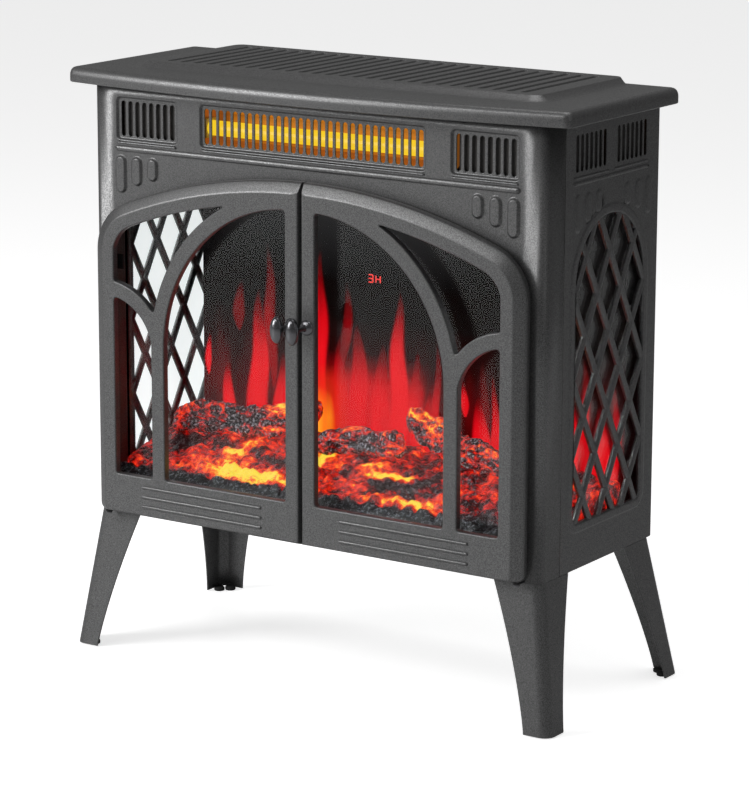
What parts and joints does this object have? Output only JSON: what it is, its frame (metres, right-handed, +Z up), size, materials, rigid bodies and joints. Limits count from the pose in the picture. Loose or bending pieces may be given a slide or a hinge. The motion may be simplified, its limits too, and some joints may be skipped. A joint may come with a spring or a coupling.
{
  "type": "electric fireplace",
  "caption": "Free-standing electric stove heater with arched double doors, latticed side windows, flame screen and log bed, heater grille and splayed legs.",
  "frame": {"origin": "middle of the overall footprint on the floor plane", "axes": "+Z up, doors face -Y, +X towards the side panel on the right of someone facing the doors"},
  "size_m": [0.61, 0.3063, 0.632],
  "materials": {
    "powder_coat": "charcoal metallic textured powder coat",
    "dark_steel": "black coated sheet steel",
    "bare_steel": "bright steel",
    "knob_metal": "polished gunmetal",
    "glass": "clear tempered glass",
    "screen": "smoked half-mirror screen lit from behind",
    "embers": "moulded resin ember bed lit from below",
    "charred": "moulded fibre log, charred",
    "reflector": "bright reflector in amber light",
    "quartz": "glowing quartz tube",
    "ceramic": "unglazed ceramic",
    "plastic": "black moulded plastic",
    "rubber": "black rubber",
    "circuit": "printed circuit board",
    "digits": "black display case with red digits"
  },
  "bodies": {
    "casing": {"mantel_top": "powder_coat", "front_panel": "powder_coat", "left_side_panel": "powder_coat", "right_side_panel": "powder_coat", "left_plenum_baffle": "powder_coat", "right_plenum_baffle": "powder_coat", "base_pan": "dark_steel", "divider_shelf": "dark_steel", "rear_panel": "powder_coat", "front_left_leg": "powder_coat", "front_left_foot": "rubber", "front_right_leg": "powder_coat", "front_right_foot": "rubber", "rear_left_leg": "powder_coat", "rear_left_foot": "rubber", "rear_right_leg": "powder_coat", "rear_right_foot": "rubber", "left_upper_hinge": "dark_steel", "left_lower_hinge": "dark_steel", "left_upper_hinge_pin": "bare_steel", "left_lower_hinge_pin": "bare_steel", "left_magnet": "dark_steel", "left_side_glass": "glass", "left_tube_holder": "ceramic", "right_upper_hinge": "dark_steel", "right_lower_hinge": "dark_steel", "right_upper_hinge_pin": "bare_steel", "right_lower_hinge_pin": "bare_steel", "right_magnet": "dark_steel", "right_side_glass": "glass", "right_tube_holder": "ceramic", "front_glass": "glass", "flame_screen": "screen", "ember_bed": "embers", "log_left": "charred", "log_middle": "charred", "log_right": "charred", "led_strip": "circuit", "spindle_bearing": "dark_steel", "flame_motor": "dark_steel", "display_module": "digits", "heater_reflector": "reflector", "quartz_tube": "quartz", "thermal_cutout": "ceramic", "blower_housing": "dark_steel", "blower_motor": "dark_steel", "control_board": "circuit", "control_plate": "plastic", "cord_gland": "rubber"},
    "left_door": {"left_door": "powder_coat", "left_door_knob": "knob_metal", "left_strike": "bare_steel"},
    "right_door": {"right_door": "powder_coat", "right_door_knob": "knob_metal", "right_strike": "bare_steel"},
    "flame_spindle": {"flame_spindle": "bare_steel"},
    "blower_wheel": {"blower_wheel": "plastic"},
    "rocker_switch": {"rocker_switch": "plastic"},
    "heat_button": {"heat_button": "plastic"},
    "flame_button": {"flame_button": "plastic"}
  },
  "joints": [
    {"name": "left_door_hinge", "type": "hinge", "parent": "casing", "child": "left_door", "pos_m": [-0.254, -0.11125, 0.3], "axis": [0, 0, -1], "range_deg": [0, 95]},
    {"name": "right_door_hinge", "type": "hinge", "parent": "casing", "child": "right_door", "pos_m": [0.254, -0.11125, 0.3], "axis": [0, 0, 1], "range_deg": [0, 95]},
    {"name": "flame_spindle_spin", "type": "hinge", "parent": "casing", "child": "flame_spindle", "pos_m": [0, 0.1025, 0.2145], "axis": [1, 0, 0], "continuous": true},
    {"name": "blower_wheel_spin", "type": "hinge", "parent": "casing", "child": "blower_wheel", "pos_m": [0, -0.00525, 0.5735], "axis": [1, 0, 0], "continuous": true},
    {"name": "rocker_switch_tilt", "type": "hinge", "parent": "casing", "child": "rocker_switch", "pos_m": [-0.1965, 0.12475, 0.5755], "axis": [1, 0, 0], "range_deg": [-8, 8]},
    {"name": "heat_button_press", "type": "slide", "parent": "casing", "child": "heat_button", "axis": [0, -1, 0], "range_m": [0, 0.0015], "stiffness_N_per_m": 400},
    {"name": "flame_button_press", "type": "slide", "parent": "casing", "child": "flame_button", "axis": [0, -1, 0], "range_m": [0, 0.0015], "stiffness_N_per_m": 400}
  ]
}
